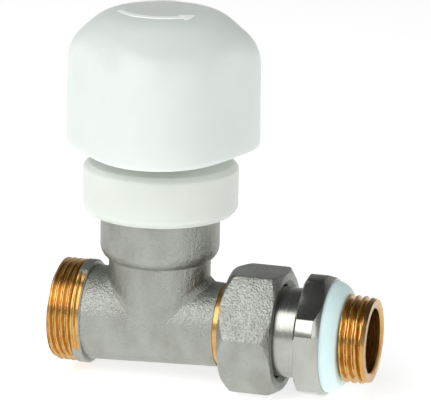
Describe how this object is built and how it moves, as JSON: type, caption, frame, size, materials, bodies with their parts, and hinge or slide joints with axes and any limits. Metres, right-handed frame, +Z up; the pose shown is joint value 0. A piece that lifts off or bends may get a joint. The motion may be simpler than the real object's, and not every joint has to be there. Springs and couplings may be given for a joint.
{
  "type": "lockshield radiator valve",
  "caption": "Straight radiator valve with a lift-off three-sided white cap, white collar, pipe thread and self-sealing union tail.",
  "frame": {"origin": "on the pipe axis, in the plane where the radiator thread starts, just past its tapered seal", "axes": "+X along the pipe towards the radiator, +Z up along the spindle, +Y to the back"},
  "size_m": [0.0782, 0.0463, 0.0914],
  "materials": {
    "nickel_cast": "blasted nickel plate",
    "nickel_turned": "turned nickel plate",
    "bare_brass": "turned",
    "spring_steel": "satin",
    "white_plastic": "satin",
    "seal_plastic": "satin",
    "black_rubber": "matte"
  },
  "bodies": {
    "housing": {"body": "nickel_cast", "bonnet": "bare_brass", "bonnet_o_ring": "black_rubber", "gland_nut": "bare_brass", "gland_ring": "white_plastic", "stem_o_ring": "black_rubber", "wiper_o_ring": "black_rubber", "collar": "white_plastic", "collar_snap_ring": "spring_steel", "tail_sleeve": "nickel_turned", "tail_o_ring": "black_rubber", "radiator_nipple": "nickel_turned", "seal_ring": "seal_plastic"},
    "plug": {"plug": "bare_brass", "plug_washer": "black_rubber", "washer_screw": "spring_steel"},
    "spindle": {"spindle": "nickel_turned", "spindle_circlip": "spring_steel"},
    "cap": {"cap": "white_plastic", "cap_bush": "bare_brass", "cap_clip": "spring_steel"},
    "slip_washer": {"slip_washer": "spring_steel"},
    "union_nut": {"union_nut": "nickel_cast"}
  },
  "joints": [
    {"name": "plug_lift", "type": "slide", "parent": "housing", "child": "plug", "axis": [0, 0, 1], "range_m": [-0.00275, 0]},
    {"name": "spindle_turn", "type": "hinge", "parent": "plug", "child": "spindle", "pos_m": [-0.047, 0, 0.025], "axis": [0, 0, 1], "range_deg": [-990, 0]},
    {"name": "cap_lift", "type": "slide", "parent": "spindle", "child": "cap", "axis": [0, 0, 1], "range_m": [0, 0.035]},
    {"name": "nut_travel", "type": "slide", "parent": "housing", "child": "slip_washer", "axis": [1, 0, 0], "range_m": [0, 0.0054]},
    {"name": "nut_turn", "type": "hinge", "parent": "slip_washer", "child": "union_nut", "pos_m": [-0.0215, 0, 0], "axis": [1, 0, 0], "range_deg": [0, 1296]}
  ],
  "couplings": [
    {"joint": "plug_lift", "follows": "spindle_turn", "m_per_rad": 0.00015915},
    {"joint": "nut_travel", "follows": "nut_turn", "m_per_rad": 0.00023873}
  ]
}
